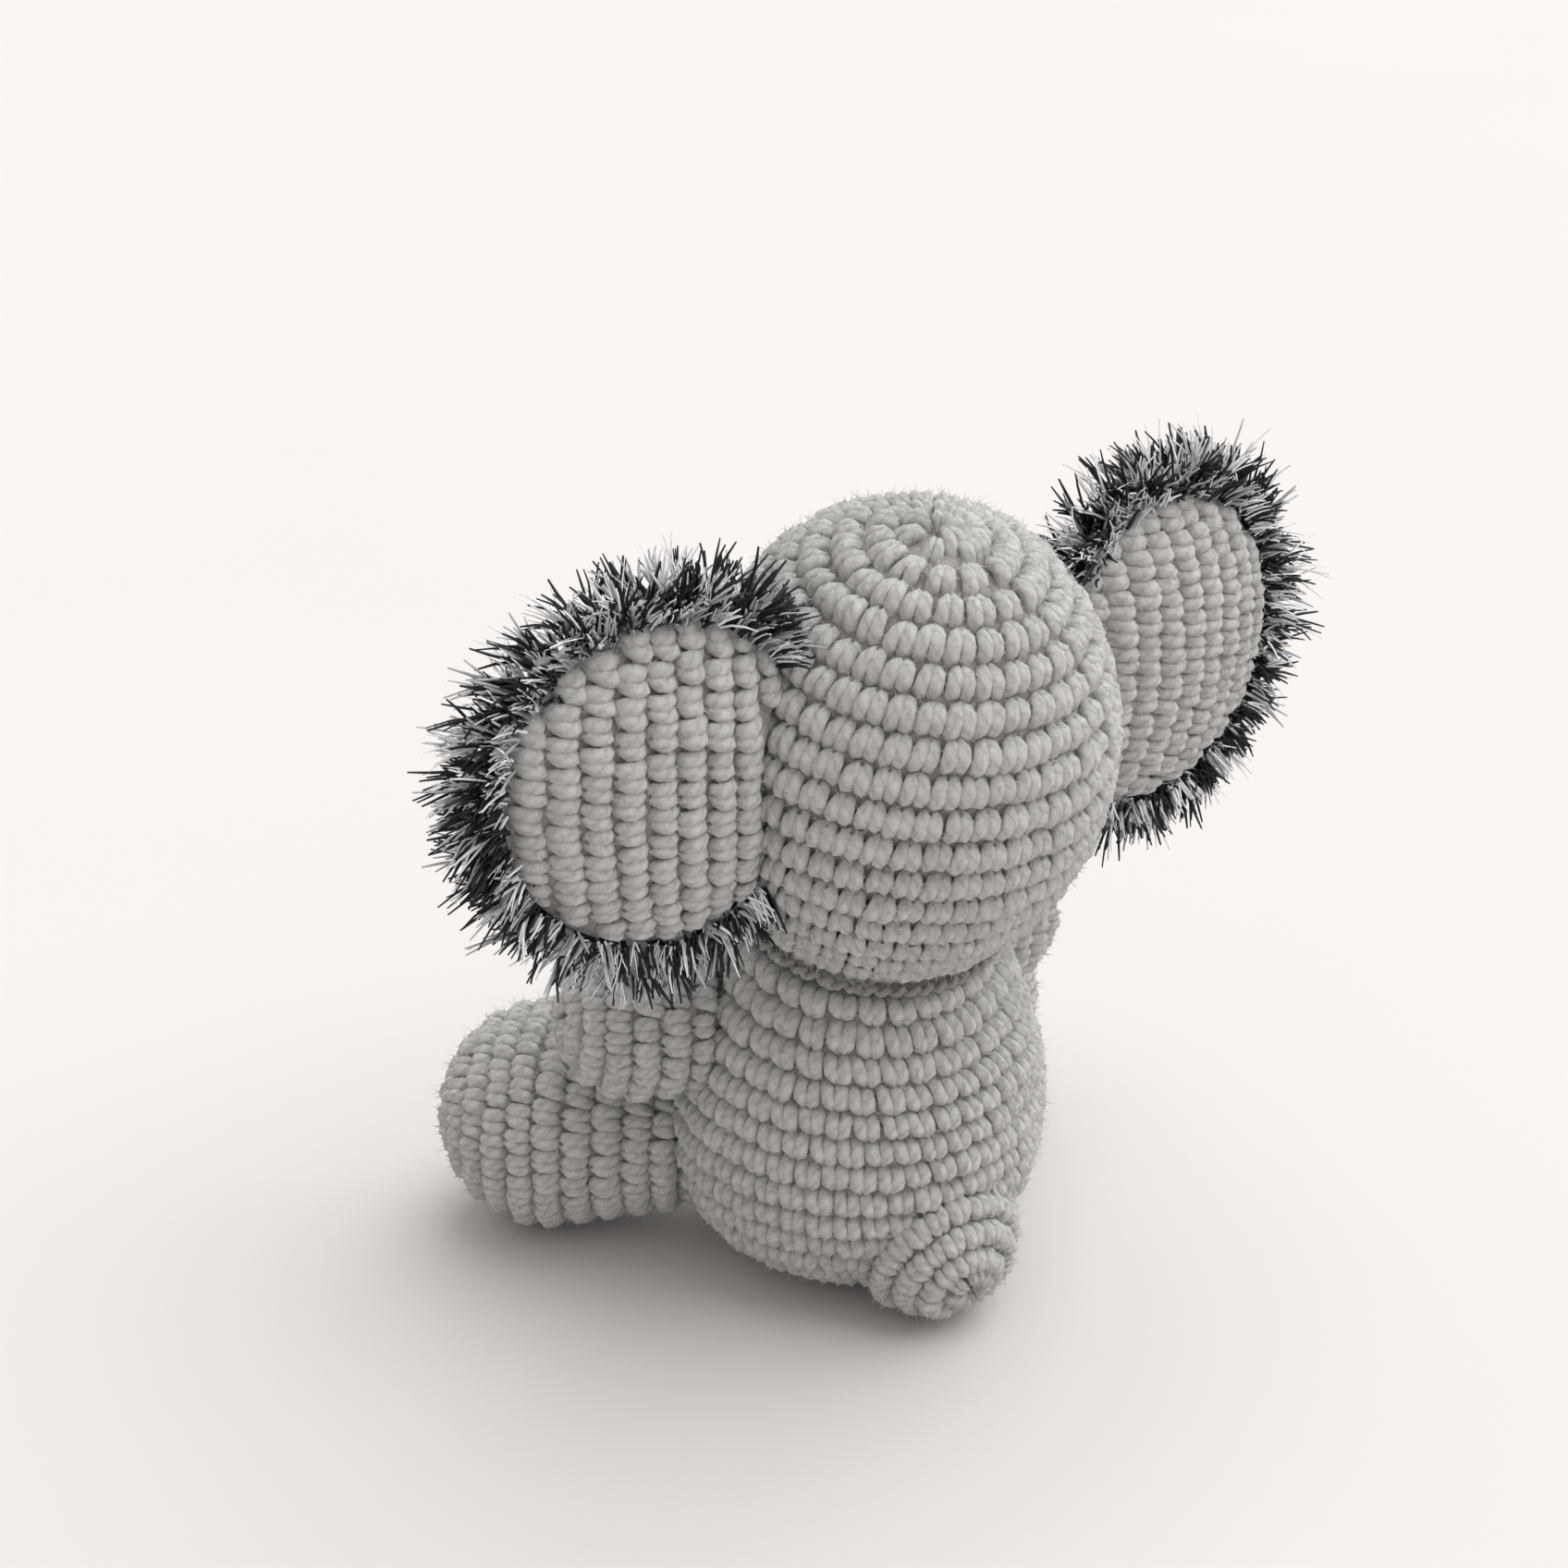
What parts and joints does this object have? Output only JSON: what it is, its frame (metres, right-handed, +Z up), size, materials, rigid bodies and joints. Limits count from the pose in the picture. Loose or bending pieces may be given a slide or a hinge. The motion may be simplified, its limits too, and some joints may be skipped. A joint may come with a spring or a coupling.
{
  "type": "stuffed elephant",
  "caption": "Crocheted sitting toy elephant with a ball head, large round ears with fluffy edges, a short trunk, stub limbs and a stub tail.",
  "frame": {"origin": "on the floor, under the middle of the toy's box", "axes": "+Z up; the toy faces -Y; its left side is +X"},
  "size_m": [0.1908, 0.126, 0.1765],
  "materials": {
    "grey_yarn": "matte light grey wool-like yarn in single crochet",
    "seam_yarn": "matte grey yarn, the tail that the head is sewn on with",
    "lash_yarn": "eyelash yarn with black, grey and white hairs and a silver thread",
    "fibre_stuffing": "matte polyester fibre filling",
    "black_plastic": "glossy black safety eye",
    "white_plastic": "satin white eye washer"
  },
  "bodies": {
    "body": {"body_shell": "grey_yarn", "body_stuffing": "fibre_stuffing", "tail_shell": "grey_yarn", "tail_stuffing": "fibre_stuffing"},
    "neck_seam": {"neck_seam": "seam_yarn"},
    "head": {"head_shell": "grey_yarn", "head_stuffing": "fibre_stuffing", "left_eye": "black_plastic", "right_eye": "black_plastic", "left_eye_washer": "white_plastic", "right_eye_washer": "white_plastic"},
    "trunk": {"trunk_shell": "grey_yarn", "trunk_stuffing": "fibre_stuffing"},
    "left_arm": {"left_arm_shell": "grey_yarn", "left_arm_stuffing": "fibre_stuffing"},
    "left_leg": {"left_leg_shell": "grey_yarn", "left_leg_stuffing": "fibre_stuffing"},
    "left_ear": {"left_ear_back": "grey_yarn", "left_ear_front": "lash_yarn", "left_ear_edging": "lash_yarn"},
    "right_arm": {"right_arm_shell": "grey_yarn", "right_arm_stuffing": "fibre_stuffing"},
    "right_leg": {"right_leg_shell": "grey_yarn", "right_leg_stuffing": "fibre_stuffing"},
    "right_ear": {"right_ear_back": "grey_yarn", "right_ear_front": "lash_yarn", "right_ear_edging": "lash_yarn"}
  },
  "joints": [
    {"name": "neck_turn", "type": "hinge", "parent": "body", "child": "neck_seam", "pos_m": [0, 0.01709, 0.11382], "axis": [0, 0.225, 0.9744], "range_deg": [-25, 25], "stiffness_Nm_per_rad": 0.6},
    {"name": "head_nod", "type": "hinge", "parent": "neck_seam", "child": "head", "pos_m": [0, 0.01709, 0.11382], "axis": [1, 0, 0], "range_deg": [-10, 10], "stiffness_Nm_per_rad": 1.2},
    {"name": "trunk_swing", "type": "hinge", "parent": "head", "child": "trunk", "pos_m": [0, -0.02623, 0.12844], "axis": [1, 0, 0], "range_deg": [-22, 22], "stiffness_Nm_per_rad": 0.03},
    {"name": "left_ear_flap", "type": "hinge", "parent": "head", "child": "left_ear", "pos_m": [0.04316, 0.02913, 0.1345], "axis": [0, 0, 1], "range_deg": [-15, 15], "stiffness_Nm_per_rad": 0.06},
    {"name": "left_arm_lift", "type": "hinge", "parent": "body", "child": "left_arm", "pos_m": [0.0371, -0.0083, 0.0605], "axis": [-0.4008, -0.9162, 0], "range_deg": [-3, 30], "stiffness_Nm_per_rad": 0.05},
    {"name": "left_leg_splay", "type": "hinge", "parent": "body", "child": "left_leg", "pos_m": [0.0341, -0.0251, 0.0255], "axis": [0, 0, 1], "range_deg": [-15, 8], "stiffness_Nm_per_rad": 0.2},
    {"name": "right_ear_flap", "type": "hinge", "parent": "head", "child": "right_ear", "pos_m": [-0.04316, 0.02913, 0.1345], "axis": [0, 0, 1], "range_deg": [-15, 15], "stiffness_Nm_per_rad": 0.06},
    {"name": "right_arm_lift", "type": "hinge", "parent": "body", "child": "right_arm", "pos_m": [-0.0371, -0.0083, 0.0605], "axis": [-0.4008, 0.9162, 0], "range_deg": [-3, 30], "stiffness_Nm_per_rad": 0.05},
    {"name": "right_leg_splay", "type": "hinge", "parent": "body", "child": "right_leg", "pos_m": [-0.0341, -0.0251, 0.0255], "axis": [0, 0, -1], "range_deg": [-15, 8], "stiffness_Nm_per_rad": 0.2}
  ]
}
